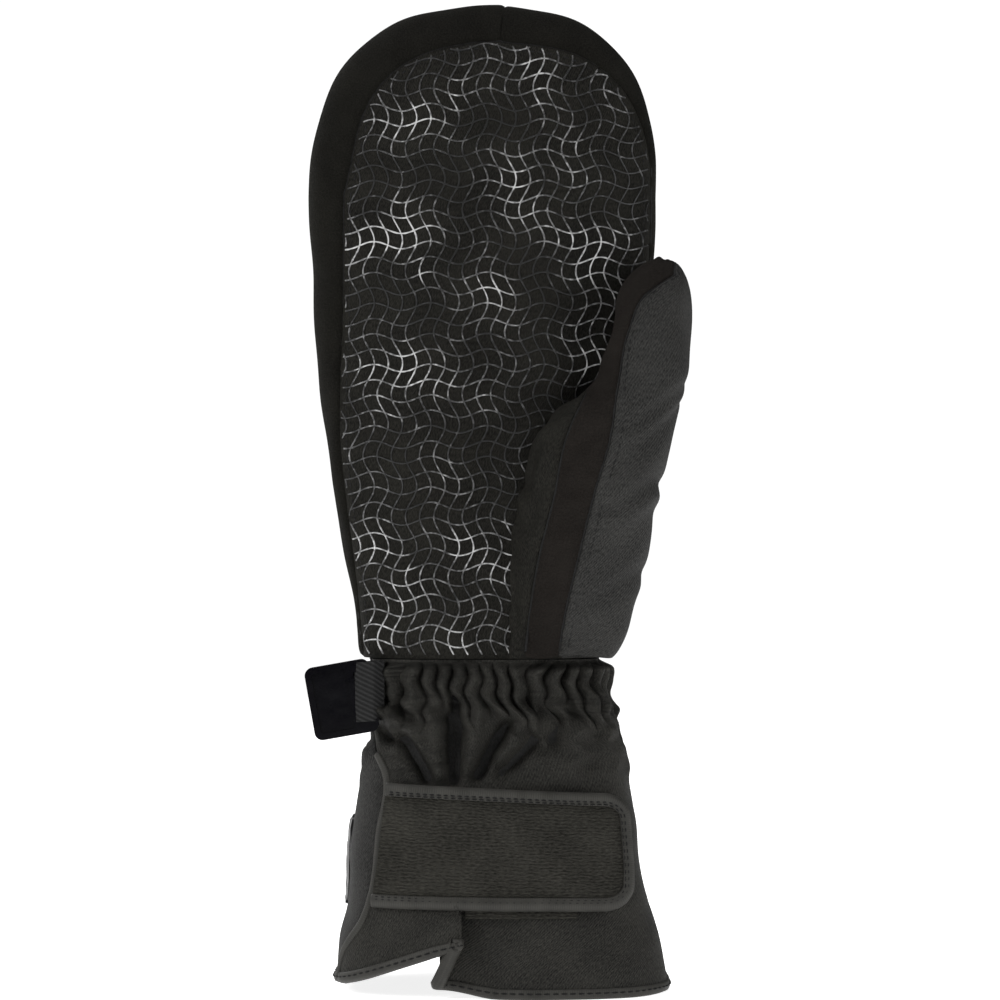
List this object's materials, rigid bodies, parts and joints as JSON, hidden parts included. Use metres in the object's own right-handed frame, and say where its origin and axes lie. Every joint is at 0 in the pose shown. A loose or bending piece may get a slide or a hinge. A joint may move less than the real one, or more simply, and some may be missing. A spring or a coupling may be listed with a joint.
{
  "type": "ski mitten",
  "caption": "Insulated gauntlet ski mitten, with a gripping palm, a separate thumb, an elasticated wrist, a hook-and-loop cuff strap and a plastic pairing clip.",
  "frame": {"origin": "under the middle of the mitten's footprint, on the plane its cuff hem stands on", "axes": "+Z from the hem to the fingertips, -Y out of the palm, +X towards the thumb"},
  "size_m": [0.1184, 0.0822, 0.3049],
  "materials": {
    "palm_fabric": "satin woven cloth with a printed grip grid",
    "softshell": "matt brushed softshell",
    "suede": "matt microsuede",
    "shell_twill": "coated twill with a soft sheen",
    "membrane": "smooth film",
    "wadding": "lofted polyester fibre",
    "fleece": "brushed fleece",
    "cuff_lining": "smooth taffeta",
    "elastic": "ribbed elastic tape",
    "binding": "folded coated tape",
    "loop_fabric": "brushed knitted loop",
    "hook_tape": "moulded nylon hooks",
    "webbing": "ribbed webbing",
    "clip_plastic": "glossy moulded plastic",
    "badge": "woven badge with silver thread",
    "label": "blank woven label",
    "grip_silicone": "glossy printed silicone lines",
    "thread": "twisted polyester sewing thread"
  },
  "bodies": {
    "cuff": {"cuff_palm_panel": "shell_twill", "cuff_back_panel": "shell_twill", "cuff_lining": "cuff_lining", "hem_binding": "binding", "wrist_elastic_upper": "elastic", "wrist_elastic_lower": "elastic", "side_seam_piping": "binding", "cuff_loop_pad": "loop_fabric", "back_badge": "badge", "inside_label": "label"},
    "hand": {"palm_panel": "palm_fabric", "back_panel": "shell_twill", "side_wall_little_finger": "softshell", "side_wall_thumb_side": "softshell", "membrane_insert": "membrane", "palm_insulation": "wadding", "back_insulation": "wadding", "hand_lining": "fleece", "clip_webbing": "webbing"},
    "thumb": {"thumb_outer_panel": "shell_twill", "thumb_gusset": "suede", "thumb_palm_panel": "palm_fabric", "thumb_membrane": "membrane", "thumb_insulation": "wadding", "thumb_lining": "fleece"},
    "strap": {"strap_body": "loop_fabric", "strap_binding": "binding", "strap_hook_pad": "hook_tape"},
    "clip": {"clip_plate": "clip_plastic"}
  },
  "joints": [
    {"name": "wrist_flex", "type": "hinge", "parent": "cuff", "child": "hand", "pos_m": [0, 0.00465, 0.078], "axis": [1, 0, 0], "range_deg": [-35, 40], "deforming": ["cuff_palm_panel", "cuff_back_panel", "cuff_lining", "wrist_elastic_upper", "wrist_elastic_lower", "side_seam_piping"]},
    {"name": "thumb_spread", "type": "hinge", "parent": "hand", "child": "thumb", "pos_m": [0.03426, -0.0211, 0.106], "axis": [0, 1, 0], "range_deg": [0, 25]},
    {"name": "strap_peel", "type": "hinge", "parent": "cuff", "child": "strap", "pos_m": [-0.0331, -0.02638, 0.04425], "axis": [0, -0.1739, -0.9848], "range_deg": [0, 135]},
    {"name": "clip_swing", "type": "hinge", "parent": "hand", "child": "clip", "pos_m": [-0.03925, -0.0144, 0.091], "axis": [-0.1736, 0, 0.9848], "range_deg": [-30, 65]}
  ]
}
